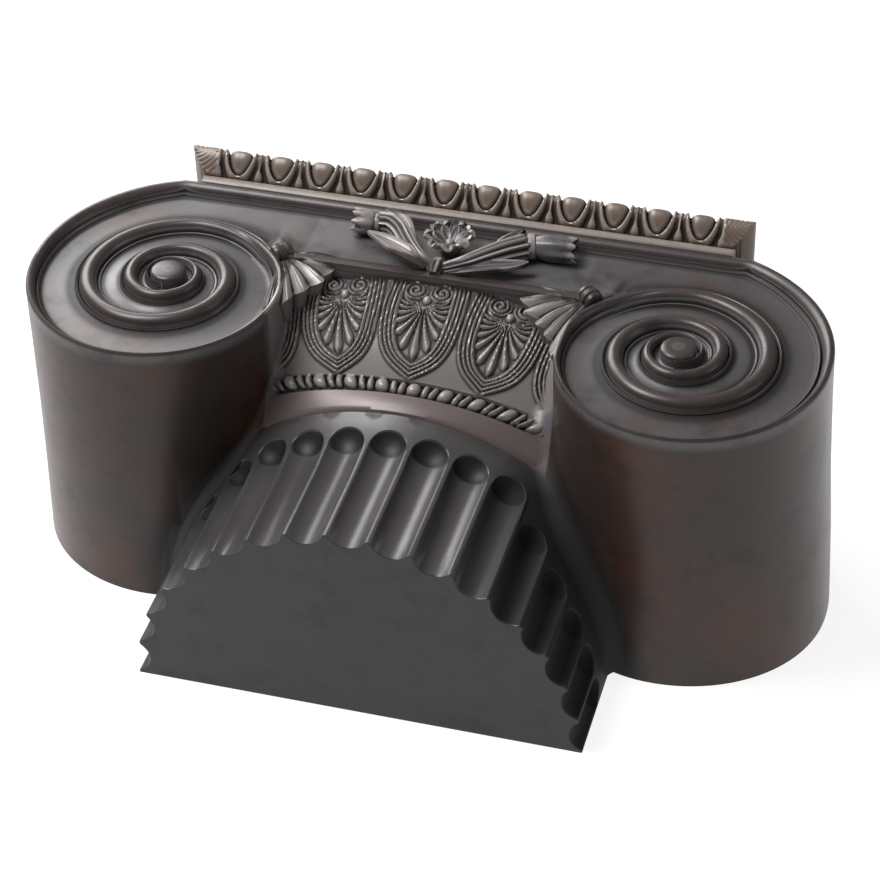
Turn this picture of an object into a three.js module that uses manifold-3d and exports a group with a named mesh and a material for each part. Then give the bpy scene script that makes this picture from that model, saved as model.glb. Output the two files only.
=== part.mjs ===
// Half of an Ionic column capital, cast in bronze as one piece, cut flat through
// the column's axis. It lies on that cut: +X runs along the face, +Y runs up the
// column from the end of the shaft to the abacus, and +Z is the capital's front.
import * as THREE from "three";
import { mergeVertices } from "three/addons/utils/BufferGeometryUtils.js";
import Module from "manifold-3d";

// Driving sizes, in millimetres. Lengths along Y start at the cut end of the shaft.
const SHAFT_RADIUS = 140;
const FLUTE_COUNT = 17;
const FLUTE_DEPTH = 7.5;
const FLUTE_LAND = 3;
const FLUTE_END = 95;
const FLUTE_MARGIN = 22;
const FLUTE_SIDES = 10;
const FLUTE_HEAD_ROWS = 3;
const SHAFT_FLARE = { from: 68, rows: 4 };
const NECK_CREASE = { radius: 149, y: 106, depth: 3, lip: 0.5 };
const BEAD_RING = { radius: 155, y: 123 };
const BEAD = { along: 5, across: 4.8, stepDegrees: 5.5, countEachSide: 4 };
const REEL = { offset: 0.4, along: 1.7 };
const ECHINUS_FOOT = { radius: 156, y: 129 };
const ECHINUS_HEAD = { radius: 187, y: 186 };
const ECHINUS_BULGE = 6;
const ECHINUS_STRETCH = 1.35;
const ECHINUS_ROWS = 5;
const EGG_STEP_DEGREES = 12.2;
const EGG_FRAMES = [
  { halfDegrees: 5.6, foot: 0.03, thick: 2.6 },
  { halfDegrees: 4.2, foot: 0.13, thick: 2.2 },
];
const EGG_FRAME = { head: 0.98, fullness: 0.75, points: 12, rods: 8 };
const PALMETTE = { heart: 0.72, frondsEachSide: 3, spreadDegrees: 34, halfDegrees: 2.7 };
const PALMETTE_FROND = { reach: 0.44, shortening: 0.09, overlap: 0.96, halfWidth: 1.9, halfDepth: 2.2 };
const PALMETTE_CURL = { degrees: 1.7, height: 0.84, radius: 3.4 };

const FACE_HEIGHT = 193;
const CHANNEL_DEPTH = 6;
const STEP_DEPTH = 2.6;
const VOLUTE_POLE = { x: 159, y: 148.4 };
const SPIRAL = { start: 99.4, fall: 40, ease: 4.34, segmentsPerTurn: 18 };
const SHOULDER = { from: 0.036, to: 0.24, rise: 8.6, power: 1.2, height: 101.9 };
const RIM_WIDTH = 13.5;
const RIB_NARROWS = { from: 1.6, to: 3, width: 7 };
const RIM_STEP = 5;
const EYE = { radius: 11.5, height: 199.5, edgeFall: 2, edgeWidth: 3, sides: 14 };
const OUTLINE_TURNS = 0.84;
const CHANNEL_NARROWEST = 2;
const CHANNEL_LEAD = 0.12;
const BAND_TOP = 196;
// The part of a turn over which the bolster's wall faces the shaft.
const UNDERSIDE = { from: 0.5, to: 0.75, step: 0.005 };

const ABACUS = { halfLength: 182, top: 268.5, height: 202, ovoloRise: 12, ovoloDepth: 18.5, rows: 4 };
const ABACUS_EGG = { count: 12, step: 27.34, halfWidth: 8.2, halfLength: 16.5, height: 209 };
const ABACUS_SHELL = { thick: 2.4, top: 1.06, drop: 1.04, fullness: 0.8, points: 8, rods: 5 };
const ABACUS_DART = { halfWidth: 1.6, inset: 2 };

const ROSETTE = { y: 221, radius: 14.5, petals: 8, height: 199, depth: 4, stemFoot: 8.7, stemHead: 10.2 };
const PETAL = { reach: 8.7, halfLength: 6.1, halfWidth: 4.6, halfDepth: 3.2, rise: 0.15 };
const BOSS = { radius: 4, halfDepth: 3.5 };
const BRANCH = { lift: 2.5, radius: 3.4, leafHalfWidth: 4.5, leafHalfDepth: 3.4 };
const STALK = [[-1, 197.5], [14, 200], [24, 209], [33, 221], [48, 232.5]];
const LEAVES = [
  { from: [26, 208], to: [51, 214], lift: 2 },
  { from: [30, 216], to: [47, 243], lift: 4 },
  { from: [12, 199], to: [34, 221], lift: 1 },
];
const BELL = { x: 47, y: 232.5, length: 26, neck: 3.5, mouth: 7.5, lift: 1, sides: 8 };
const TIE = { x: 94, y: 190, radius: 6, depth: 3, halfWidth: 4.8, halfDepth: 4.5, slope: 0.3 };
const CORNER_FAN = { fronds: 5, fromDegrees: 172, toDegrees: 258, shortest: 33, longest: 50 };
const CORNER_FROND = { halfWidth: 5.5, droop: 0.12 };
const CORNER_WEB = { share: 0.8, bottom: 22, top: 6, startX: 8, startY: 2 };

// What follows from them.
const CHANNEL_FLOOR = FACE_HEIGHT - CHANNEL_DEPTH;
const BLOCK_TOP = VOLUTE_POLE.y + SHOULDER.height;
const FAR = 1000;
const OVERLAP = 4;
const TURN = 2 * Math.PI;
const QUARTER = Math.PI / 2;
const rad = THREE.MathUtils.degToRad;
const at = (x, y, z) => new THREE.Vector3(x, y, z);

const wasm = await Module();
wasm.setup();

// A closed three.js geometry as a solid that can be joined and cut.
function solid(geometry) {
  const bare = new THREE.BufferGeometry();
  bare.setAttribute("position", geometry.getAttribute("position").clone());
  bare.setIndex(geometry.getIndex());
  const merged = mergeVertices(bare, 1e-3);
  const triVerts = Uint32Array.from(merged.index.array);
  const vertProperties = merged.getAttribute("position").array;
  return new wasm.Manifold(new wasm.Mesh({ numProp: 3, vertProperties, triVerts }));
}

const join = (solids) => solids.reduce((sum, next) => sum.add(next));

function boxBetween(low, high) {
  const size = high.clone().sub(low);
  const box = new THREE.BoxGeometry(size.x, size.y, size.z);
  return solid(box.translate(low.x + size.x / 2, low.y + size.y / 2, low.z + size.z / 2));
}

// A flat outline in X and Y raised between two heights.
function raised(points, bottom, top) {
  const geometry = new THREE.ExtrudeGeometry(new THREE.Shape(points), {
    depth: top - bottom,
    bevelEnabled: false,
  });
  return solid(geometry.translate(0, 0, bottom));
}

// A round or oval blob, with its own X axis pointed along a direction.
function blob(centre, halfSizes, along = at(1, 0, 0), up = at(0, 0, 1), sides = 6, rings = 4) {
  const geometry = new THREE.SphereGeometry(1, sides, rings);
  geometry.scale(halfSizes.x, halfSizes.y, halfSizes.z);
  const xAxis = along.clone().normalize();
  const yAxis = new THREE.Vector3().crossVectors(up, xAxis).normalize();
  const zAxis = new THREE.Vector3().crossVectors(xAxis, yAxis);
  geometry.applyMatrix4(new THREE.Matrix4().makeBasis(xAxis, yAxis, zAxis));
  return solid(geometry.translate(centre.x, centre.y, centre.z));
}

// A rod with a regular section along a smooth curve through the given points.
function rod(points, radius, steps, sides = 5) {
  const section = new THREE.Shape();
  for (let i = 0; i < sides; i++) {
    const angle = (i / sides) * TURN;
    section[i ? "lineTo" : "moveTo"](radius * Math.cos(angle), radius * Math.sin(angle));
  }
  section.closePath();
  const extrudePath = new THREE.CatmullRomCurve3(points);
  return solid(new THREE.ExtrudeGeometry(section, { steps, extrudePath, curveSegments: 1 }));
}

const mirrored = (points) => points.map((p) => new THREE.Vector2(-p.x, p.y)).reverse();

// The volute's spiral, for the right-hand volute: turn 0 is straight up the column,
// a quarter turn is the outer side.
const spiralRadius = (turn) => SPIRAL.start - SPIRAL.fall * turn + SPIRAL.ease * turn * turn;

// The outer edge, which is fuller than the spiral at the shoulder under the abacus.
function edgeRadius(turn) {
  const left = Math.max(0, 1 - turn / SHOULDER.to);
  return spiralRadius(turn) + SHOULDER.rise * left ** SHOULDER.power;
}

function ribWidth(turn) {
  const narrowing = (turn - RIB_NARROWS.from) / (RIB_NARROWS.to - RIB_NARROWS.from);
  return THREE.MathUtils.lerp(RIM_WIDTH, RIB_NARROWS.width, THREE.MathUtils.clamp(narrowing, 0, 1));
}

function volutePoint(turn, radius) {
  const angle = turn * TURN;
  const x = VOLUTE_POLE.x + radius * Math.sin(angle);
  return new THREE.Vector2(x, VOLUTE_POLE.y + radius * Math.cos(angle));
}

function alongSpiral(from, to, radiusAt) {
  const count = Math.ceil(Math.abs(to - from) * SPIRAL.segmentsPerTurn);
  const points = [];
  for (let i = 0; i <= count; i++) {
    const turn = THREE.MathUtils.lerp(from, to, i / count);
    points.push(volutePoint(turn, radiusAt(turn)));
  }
  return points;
}

// Both bolsters and the block between them, up to the face of the volutes.
function faceBlock() {
  const right = alongSpiral(SHOULDER.from, OUTLINE_TURNS, edgeRadius);
  right.push(new THREE.Vector2(TIE.x - TIE.radius, ECHINUS_HEAD.y));
  return raised([...right, ...mirrored(right)], 0, FACE_HEIGHT);
}

// The hollow that runs between the borders from the middle of the face round into one
// volute, drawn in by a margin all along its two sides.
function channel(margin, bottom) {
  const pastMiddle = -0.5;
  const turnStep = 0.02;
  const ribFoot = (t) => edgeRadius(t) - ribWidth(t) - margin;
  const nextTurn = (t) => Math.max(spiralRadius(t + 1), EYE.radius) + margin;
  let end = 1;
  while (ribFoot(end) - nextTurn(end) > CHANNEL_NARROWEST) end += turnStep;
  const outerSide = alongSpiral(SHOULDER.from, end, ribFoot);
  const innerSide = alongSpiral(end, -CHANNEL_LEAD, nextTurn);
  const top = outerSide[0].y;
  const points = [
    new THREE.Vector2(pastMiddle, top),
    ...outerSide,
    ...innerSide,
    new THREE.Vector2(TIE.x - TIE.radius, BAND_TOP + margin),
    new THREE.Vector2(pastMiddle, BAND_TOP + margin),
  ].reverse();
  const right = raised(points, bottom, FAR);
  return right.add(raised(mirrored(points), bottom, FAR));
}

// The round boss that the spiral runs into.
function eye(side) {
  const dome = [
    new THREE.Vector2(0, CHANNEL_FLOOR - OVERLAP),
    new THREE.Vector2(EYE.radius, CHANNEL_FLOOR - OVERLAP),
    new THREE.Vector2(EYE.radius, EYE.height - EYE.edgeFall),
    new THREE.Vector2(EYE.radius - EYE.edgeWidth, EYE.height),
    new THREE.Vector2(0, EYE.height),
  ];
  const lathe = new THREE.LatheGeometry(dome, EYE.sides).rotateX(QUARTER);
  return solid(lathe.translate(side * VOLUTE_POLE.x, VOLUTE_POLE.y, 0));
}

// Above the neck the round is drawn out sideways, so that the echinus is flatter in front.
function stretch(y) {
  const share = THREE.MathUtils.smoothstep(y, NECK_CREASE.y, ECHINUS_FOOT.y);
  return THREE.MathUtils.lerp(1, ECHINUS_STRETCH, share);
}

// A profile turned round the column's axis and drawn out sideways.
function turned(profile, segments) {
  const lathe = new THREE.LatheGeometry(profile, segments, QUARTER);
  const position = lathe.getAttribute("position");
  for (let i = 0; i < position.count; i++) {
    position.setX(i, position.getX(i) * stretch(position.getY(i)));
  }
  return solid(lathe);
}

// A point on a ring round the column, at an angle from the middle of the face.
function onRing(radius, y, degrees) {
  return at(radius * stretch(y) * Math.sin(rad(degrees)), y, radius * Math.cos(rad(degrees)));
}

// The echinus swells between its foot and its head. Height 0 is the foot, 1 the head.
function echinusProfile(height) {
  const foot = new THREE.Vector2(ECHINUS_FOOT.radius, ECHINUS_FOOT.y);
  const head = new THREE.Vector2(ECHINUS_HEAD.radius, ECHINUS_HEAD.y);
  const chord = head.clone().sub(foot);
  const outward = new THREE.Vector2(chord.y, -chord.x).normalize();
  const swell = ECHINUS_BULGE * 4 * height * (1 - height);
  return foot.addScaledVector(chord, height).addScaledVector(outward, swell);
}

function onEchinus(degrees, height, lift) {
  const profile = echinusProfile(height);
  return onRing(profile.x + lift, profile.y, degrees);
}

// The fluted shaft, flaring into the neck.
function shaft() {
  const profile = [new THREE.Vector2(0, 0), new THREE.Vector2(SHAFT_RADIUS, 0)];
  for (let i = 0; i <= SHAFT_FLARE.rows; i++) {
    const share = i / SHAFT_FLARE.rows;
    const radius = THREE.MathUtils.lerp(SHAFT_RADIUS, NECK_CREASE.radius, share * share);
    const y = THREE.MathUtils.lerp(SHAFT_FLARE.from, NECK_CREASE.y, share);
    profile.push(new THREE.Vector2(radius, y));
  }
  profile.push(new THREE.Vector2(0, NECK_CREASE.y));
  return turned(profile, 2 * FLUTE_COUNT).subtract(join(fluteCutters()));
}

// The plain band of the neck and the echinus over it. Its ends lie inside the bolsters.
function echinus() {
  const buried = ECHINUS_HEAD.y + OVERLAP;
  const { radius, y, depth, lip } = NECK_CREASE;
  const profile = [
    new THREE.Vector2(0, y - OVERLAP),
    new THREE.Vector2(radius - depth, y - OVERLAP),
    new THREE.Vector2(radius + lip, y + 2 * lip),
    new THREE.Vector2(BEAD_RING.radius - 2, BEAD_RING.y - BEAD.across),
  ];
  for (let i = 0; i <= ECHINUS_ROWS; i++) profile.push(echinusProfile(i / ECHINUS_ROWS));
  profile.push(new THREE.Vector2(ECHINUS_HEAD.radius, buried));
  profile.push(new THREE.Vector2(0, buried));
  const end = VOLUTE_POLE.x;
  return turned(profile, 4 * FLUTE_COUNT).intersect(boxBetween(at(-end, 0, 0), at(end, FAR, FAR)));
}

// How far up the column the bolster's wall stands at a distance from the axis.
function bolsterFoot(x) {
  let turn = UNDERSIDE.from;
  while (turn < UNDERSIDE.to && volutePoint(turn, spiralRadius(turn)).x > x) turn += UNDERSIDE.step;
  return turn < UNDERSIDE.to ? volutePoint(turn, spiralRadius(turn)).y : FAR;
}

// Round-bottomed flutes with round tops, side by side over the half round. The outer ones
// stop short of the bolsters.
function fluteCutters() {
  const pitch = rad(180 / FLUTE_COUNT);
  const halfWidth = (SHAFT_RADIUS * pitch - FLUTE_LAND) / 2;
  const radius = (halfWidth * halfWidth + FLUTE_DEPTH * FLUTE_DEPTH) / (2 * FLUTE_DEPTH);
  const axisRadius = SHAFT_RADIUS - FLUTE_DEPTH + radius;
  const cutters = [];
  for (let i = 0; i < FLUTE_COUNT; i++) {
    const angle = (i + 0.5) * pitch;
    const outerFlank = SHAFT_RADIUS * Math.cos(Math.min(angle, Math.PI - angle) - pitch / 2);
    const end = Math.min(FLUTE_END, bolsterFoot(outerFlank) - FLUTE_MARGIN);
    const profile = [new THREE.Vector2(0, -OVERLAP), new THREE.Vector2(radius, -OVERLAP)];
    for (let j = 0; j <= FLUTE_HEAD_ROWS; j++) {
      const rise = (j / FLUTE_HEAD_ROWS) * QUARTER;
      profile.push(new THREE.Vector2(radius * Math.cos(rise), end - radius * (1 - Math.sin(rise))));
    }
    const cutter = new THREE.LatheGeometry(profile, FLUTE_SIDES);
    cutters.push(solid(cutter.translate(axisRadius * Math.cos(angle), 0, axisRadius * Math.sin(angle))));
  }
  return cutters;
}

// One bead and two reels in turn, round the neck.
function beadsAndReels() {
  const pieces = [];
  const thread = (steps, halfLength, sides, rings) => {
    const degrees = steps * BEAD.stepDegrees;
    const centre = onRing(BEAD_RING.radius, BEAD_RING.y, degrees);
    const across = onRing(1, BEAD_RING.y, degrees + 90).setY(0);
    const size = at(halfLength, BEAD.across, BEAD.across);
    pieces.push(blob(centre, size, across, undefined, sides, rings));
  };
  for (let i = -BEAD.countEachSide; i <= BEAD.countEachSide; i++) {
    thread(i, BEAD.along, 5, 3);
    for (const side of [-1, 1]) thread(i + side * REEL.offset, REEL.along, 4, 2);
  }
  return join(pieces);
}

// An egg of the echinus: two raised frames, rounded at the foot, round a palmette whose
// fronds fan down from a pair of small spirals.
function echinusEgg(middle) {
  const pieces = [];
  for (const { halfDegrees, foot, thick } of EGG_FRAMES) {
    const points = [];
    for (let i = 0; i <= EGG_FRAME.points; i++) {
      const angle = (i / EGG_FRAME.points) * Math.PI;
      const height = 1 - (1 - foot) * Math.sin(angle) ** EGG_FRAME.fullness;
      const degrees = middle - halfDegrees * Math.cos(angle);
      points.push(onEchinus(degrees, Math.min(height, EGG_FRAME.head), 0));
    }
    pieces.push(rod(points, thick, EGG_FRAME.rods, 3));
  }
  const heart = onEchinus(middle, PALMETTE.heart, 1);
  for (let i = -PALMETTE.frondsEachSide; i <= PALMETTE.frondsEachSide; i++) {
    const spread = rad(i * PALMETTE.spreadDegrees);
    const reach = PALMETTE_FROND.reach - PALMETTE_FROND.shortening * Math.abs(i);
    const degrees = middle + PALMETTE.halfDegrees * Math.sin(spread);
    const tip = onEchinus(degrees, PALMETTE.heart - reach * Math.cos(spread), 1.5);
    const along = tip.clone().sub(heart);
    const centre = heart.clone().lerp(tip, 0.6);
    const outward = at(Math.sin(rad(middle)), -0.5, Math.cos(rad(middle)));
    const halfLength = (along.length() / 2) * PALMETTE_FROND.overlap;
    const size = at(halfLength, PALMETTE_FROND.halfWidth, PALMETTE_FROND.halfDepth);
    pieces.push(blob(centre, size, along, outward, 4, 2));
  }
  const { radius } = PALMETTE_CURL;
  for (const side of [-1, 1]) {
    const curl = onEchinus(middle + side * PALMETTE_CURL.degrees, PALMETTE_CURL.height, 0.5);
    pieces.push(blob(curl, at(radius, radius, radius), undefined, undefined, 5, 3));
  }
  return join(pieces);
}

// The abacus: a slab with a quarter-round edge on its front and both ends.
function abacus() {
  const { halfLength, top, height, ovoloRise, ovoloDepth, rows } = ABACUS;
  const plan = new THREE.Shape();
  plan.moveTo(-halfLength, -height);
  plan.lineTo(halfLength, -height);
  plan.lineTo(halfLength, height);
  plan.lineTo(-halfLength, height);
  plan.closePath();
  const slab = new THREE.ExtrudeGeometry(plan, {
    depth: 1,
    bevelThickness: ovoloDepth,
    bevelSize: ovoloRise,
    bevelOffset: -ovoloRise,
    bevelSegments: rows,
  });
  slab.translate(0, 0, -1).rotateX(QUARTER);
  const foot = boxBetween(
    at(ovoloRise - halfLength, BLOCK_TOP - RIM_WIDTH, 0),
    at(halfLength - ovoloRise, top - 1, height - ovoloRise),
  );
  return solid(slab.translate(0, top, 0)).add(foot);
}

// A point on the quarter-round of the abacus: share 0 is its foot, 1 its upper edge.
function onOvolo(x, share) {
  const angle = share * QUARTER;
  const base = ABACUS.height - ABACUS.ovoloRise;
  return at(x, ABACUS.top - ABACUS.ovoloDepth * Math.cos(angle), base + ABACUS.ovoloRise * Math.sin(angle));
}

// Eggs in raised shells along the front of the abacus, with a dart between each two.
function abacusEggs() {
  const { count, step, halfWidth, halfLength, height } = ABACUS_EGG;
  const base = ABACUS.height - ABACUS.ovoloRise;
  const pieces = [];
  for (let i = 0; i < count; i++) {
    const x = (i - (count - 1) / 2) * step;
    const eggSize = at(halfWidth, halfLength, height - base);
    pieces.push(blob(at(x, ABACUS.top, base), eggSize, undefined, undefined, 7, 4));
    const { thick, top, drop, fullness, points, rods } = ABACUS_SHELL;
    const shell = [];
    for (let j = 0; j <= points; j++) {
      const angle = (j / points) * Math.PI;
      const side = (halfWidth + thick) * Math.cos(angle);
      shell.push(onOvolo(x - side, top - drop * Math.sin(angle) ** fullness));
    }
    pieces.push(rod(shell, thick, rods, 3));
  }
  for (let i = 0; i <= count; i++) {
    const x = (i - count / 2) * step;
    const { inset } = ABACUS_DART;
    const dartSize = at(ABACUS_DART.halfWidth, ABACUS.ovoloDepth - inset, height - base - inset);
    pieces.push(blob(at(x, ABACUS.top, base), dartSize, undefined, undefined, 4, 2));
  }
  return join(pieces);
}

// The rosette in the middle of the channel, on a short stem.
function rosette() {
  const centre = at(0, ROSETTE.y, ROSETTE.height - ROSETTE.depth);
  const stem = [
    new THREE.Vector2(0, CHANNEL_FLOOR - OVERLAP),
    new THREE.Vector2(ROSETTE.stemFoot, CHANNEL_FLOOR - OVERLAP),
    new THREE.Vector2(ROSETTE.stemHead, centre.z),
    new THREE.Vector2(0, centre.z),
  ];
  const lathe = new THREE.LatheGeometry(stem, 6).rotateX(QUARTER);
  const pieces = [solid(lathe.translate(0, ROSETTE.y, 0))];
  const petalSize = at(PETAL.halfLength, PETAL.halfWidth, PETAL.halfDepth);
  for (let i = 0; i < ROSETTE.petals; i++) {
    const angle = (i / ROSETTE.petals) * TURN;
    const along = at(Math.cos(angle), Math.sin(angle), PETAL.rise);
    const petal = centre.clone().addScaledVector(along, PETAL.reach);
    pieces.push(blob(petal, petalSize, along, undefined, 5, 3));
  }
  const bossSize = at(BOSS.radius, BOSS.radius, BOSS.halfDepth);
  pieces.push(blob(centre, bossSize, undefined, undefined, 5, 3));
  return join(pieces);
}

// A branch from under the rosette up to a bell at the channel's upper border, with a
// leaf that splits in two beside the bell.
function branch(side) {
  const z = CHANNEL_FLOOR + BRANCH.lift;
  const point = ([x, y], lift = 0) => at(side * x, y, z + lift);
  const stalk = STALK.map((place) => point(place));
  const pieces = [rod(stalk, BRANCH.radius, 6, 4)];
  const bell = new THREE.CylinderGeometry(BELL.mouth, BELL.neck, BELL.length, BELL.sides);
  bell.rotateZ(-side * QUARTER);
  pieces.push(solid(bell.translate(side * (BELL.x + BELL.length / 2), BELL.y, z + BELL.lift)));
  for (const leaf of LEAVES) {
    const from = point(leaf.from);
    const to = point(leaf.to, leaf.lift);
    const along = to.clone().sub(from);
    const size = at(along.length() / 2, BRANCH.leafHalfWidth, BRANCH.leafHalfDepth);
    pieces.push(blob(from.lerp(to, 0.5), size, along, undefined, 5, 3));
  }
  return join(pieces);
}

// Half a palmette in each corner between volute and echinus: fronds fan out from a tie
// over a web that joins them to the bolster.
function cornerPalmette(side) {
  const tie = at(side * TIE.x, TIE.y, FACE_HEIGHT - TIE.depth);
  const tieSize = at(TIE.radius, TIE.halfWidth, TIE.halfDepth);
  const pieces = [blob(tie, tieSize, at(side, TIE.slope, 0))];
  const web = [new THREE.Vector2(side * (TIE.x + CORNER_WEB.startX), TIE.y + CORNER_WEB.startY)];
  const { fronds, fromDegrees, toDegrees, shortest, longest } = CORNER_FAN;
  const { halfWidth, droop } = CORNER_FROND;
  for (let i = 0; i < fronds; i++) {
    const share = i / (fronds - 1);
    const angle = rad(THREE.MathUtils.lerp(fromDegrees, toDegrees, share));
    const length = THREE.MathUtils.lerp(shortest, longest, share * share);
    const along = at(side * Math.cos(angle), Math.sin(angle), -droop);
    const centre = tie.clone().addScaledVector(along, length / 2);
    pieces.push(blob(centre, at(length / 2, halfWidth, halfWidth), along));
    const tip = tie.clone().addScaledVector(along, length * CORNER_WEB.share);
    web.push(new THREE.Vector2(tip.x, tip.y));
  }
  if (side < 0) web.reverse();
  pieces.push(raised(web, FACE_HEIGHT - CORNER_WEB.bottom, FACE_HEIGHT - CORNER_WEB.top));
  return join(pieces);
}

function capital() {
  const ornament = [];
  for (const side of [-1, 1]) {
    ornament.push(eye(side), branch(side), cornerPalmette(side));
  }
  for (const place of [-1, 0, 1]) ornament.push(echinusEgg(place * EGG_STEP_DEGREES));
  const face = faceBlock()
    .subtract(channel(0, FACE_HEIGHT - STEP_DEPTH))
    .subtract(channel(RIM_STEP / 2, CHANNEL_FLOOR));
  const mouldings = [shaft(), echinus(), abacus(), abacusEggs(), beadsAndReels(), rosette()];
  const whole = join([face, ...mouldings, ...ornament]);
  return whole.intersect(boxBetween(at(-FAR, 0, 0), at(FAR, ABACUS.top, FAR)));
}

function meshOf(name, body, material) {
  const { vertProperties, triVerts } = body.getMesh();
  const geometry = new THREE.BufferGeometry();
  geometry.setAttribute("position", new THREE.BufferAttribute(vertProperties, 3));
  geometry.setIndex(new THREE.BufferAttribute(triVerts, 1));
  geometry.computeVertexNormals();
  const mesh = new THREE.Mesh(geometry, material);
  mesh.name = name;
  return mesh;
}

const bronze = new THREE.MeshStandardMaterial({ color: 0x3a302c, roughness: 0.45, metalness: 0.9 });

// The part stands with its origin at the middle of its flat back.
const group = new THREE.Group();
const body = meshOf("capital", capital(), bronze);
body.position.y = -ABACUS.top / 2;
group.add(body);

export default group;
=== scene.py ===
import math

import bmesh
import bpy
import numpy as np
from mathutils import Matrix, Vector


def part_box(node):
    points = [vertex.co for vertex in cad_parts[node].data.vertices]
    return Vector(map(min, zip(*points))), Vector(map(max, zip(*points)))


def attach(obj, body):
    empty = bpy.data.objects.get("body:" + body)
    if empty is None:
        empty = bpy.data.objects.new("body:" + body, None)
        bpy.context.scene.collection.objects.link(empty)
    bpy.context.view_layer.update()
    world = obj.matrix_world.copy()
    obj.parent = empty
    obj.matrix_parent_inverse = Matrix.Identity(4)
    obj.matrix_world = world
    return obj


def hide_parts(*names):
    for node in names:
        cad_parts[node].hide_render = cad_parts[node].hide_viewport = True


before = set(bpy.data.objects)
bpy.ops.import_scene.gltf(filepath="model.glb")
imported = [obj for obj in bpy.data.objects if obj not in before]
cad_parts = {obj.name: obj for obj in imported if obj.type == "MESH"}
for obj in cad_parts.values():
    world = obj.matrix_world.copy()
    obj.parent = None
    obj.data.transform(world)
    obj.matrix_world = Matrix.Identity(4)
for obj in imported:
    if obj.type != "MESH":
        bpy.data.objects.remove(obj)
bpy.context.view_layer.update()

# The two bolsters and the channel between them are one mass of cast bronze that
# stands on the flat cut back. Its face carries the scrolls: a rim that winds inwards
# as a round rib, with a sunk channel beside it.
MM = 0.001
CUT_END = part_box("capital")[0].y
FACE = 193.0
POLE_X = 159.0
POLE_Y = 148.4
SHIFT = 2.0
SPIRAL_START = 99.4
SPIRAL_FALL = 40.0
SPIRAL_EASE = 4.34
STEPS_PER_TURN = 128
LAST_TURN = 3.5
TOP_EDGE = 250.3
BAND_FOOT = 186.0
FLOOR_DEPTH = -6.0
FLOOR_SAG = 0.4
LEAST_FLOOR = 1.5
EYE_FALL = 3
RIM_WIDTH = 15.0
RIB_RISE = 6.4
SHOULDER_RISE = 8.6
SHOULDER_END = 0.24
STRAIGHT_END = 0.1
CENTRE_RISE = 2.6
LEFT_EXTRA_RISE = 0.35
# Places across the rim, from its outer edge at 0 to its inner foot at 1, and across the floor.
RIM_STATIONS = np.array([0, .03, .07, .12, .17, .22, .28, .35, .43, .50, .55, .58, .63, .66, .70,
                         .76, .82, .87, .92, .96, 1])
FLOOR_STATIONS = np.arange(1, 9) / 8


def smooth(start, end, value):
    """0 before start, 1 after end, with an easy curve between."""
    step = np.clip((value - start) / (end - start), 0, 1)
    return step * step * (3 - 2 * step)


def half_round(distance, half_width):
    """Height of a round ridge, 1 on its middle line and 0 at its feet."""
    return np.sqrt(np.clip(1 - (distance / half_width) ** 2, 0, 1))


def edit(piece):
    bpy.ops.object.select_all(action="DESELECT")
    piece.select_set(True)
    bpy.context.view_layer.objects.active = piece
    bpy.ops.object.mode_set(mode="EDIT")


def skin(name, points):
    """A grid whose corners are laid on a table of points, in mm from the cut end."""
    rows, columns = points.shape[:2]
    bpy.ops.object.select_all(action="DESELECT")
    bpy.ops.mesh.primitive_grid_add(x_subdivisions=columns - 1, y_subdivisions=rows - 1)
    piece = bpy.context.object
    piece.name = piece.data.name = name
    flat = np.empty(rows * columns * 3)
    piece.data.vertices.foreach_get("co", flat)
    flat = np.round(flat.reshape(-1, 3), 6)
    placed = np.empty_like(flat)
    placed[np.lexsort((flat[:, 0], flat[:, 1]))] = points.reshape(-1, 3) * MM + (0, CUT_END, 0)
    piece.data.vertices.foreach_set("co", placed.ravel())
    piece.data.update()
    return piece


def join(name, pieces):
    """Makes one mesh of several and welds the corners that meet."""
    bpy.ops.object.select_all(action="DESELECT")
    for piece in pieces:
        piece.select_set(True)
    bpy.context.view_layer.objects.active = pieces[0]
    bpy.ops.object.join()
    pieces[0].name = pieces[0].data.name = name
    edit(pieces[0])
    bpy.ops.mesh.select_all(action="SELECT")
    bpy.ops.mesh.remove_doubles(threshold=0.01 * MM)
    bpy.ops.mesh.normals_make_consistent(inside=False)
    bpy.ops.object.mode_set(mode="OBJECT")
    return pieces[0]


def select_open_edges(piece, wanted=lambda middle: True):
    bpy.ops.mesh.select_mode(type="EDGE")
    bpy.ops.mesh.select_all(action="DESELECT")
    shell = bmesh.from_edit_mesh(piece.data)
    for edge in shell.edges:
        middle = (edge.verts[0].co + edge.verts[1].co) / 2
        edge.select_set(edge.is_boundary and wanted(middle))
    bmesh.update_edit_mesh(piece.data)


def stand(piece, levels, shift=lambda point, level: point):
    """Extrudes the open edge down to each level in turn and closes the last with a face."""
    edit(piece)
    select_open_edges(piece)
    for level in levels:
        bpy.ops.mesh.extrude_edges_indiv()
        shell = bmesh.from_edit_mesh(piece.data)
        for corner in shell.verts:
            if corner.select:
                corner.co = shift(corner.co.copy(), level)
                corner.co.z = level * MM
        bmesh.update_edit_mesh(piece.data)
    bpy.ops.mesh.edge_face_add()
    bpy.ops.mesh.select_all(action="SELECT")
    bpy.ops.mesh.normals_make_consistent(inside=False)
    bpy.ops.object.mode_set(mode="OBJECT")


def spiral_radius(turn):
    """The rib's outer edge, with the hand-laid unevenness of the real scroll added."""
    fuller = np.interp(turn, [.86, 1.0, 1.25, 1.5, 1.75, 2.0, 2.25, 2.5, 2.75, 3],
                       [0, 5, 4.2, 1.6, 2.2, .6, -.4, 1.4, .5, 0])
    return SPIRAL_START - SPIRAL_FALL * turn + SPIRAL_EASE * turn ** 2 + fuller


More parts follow.
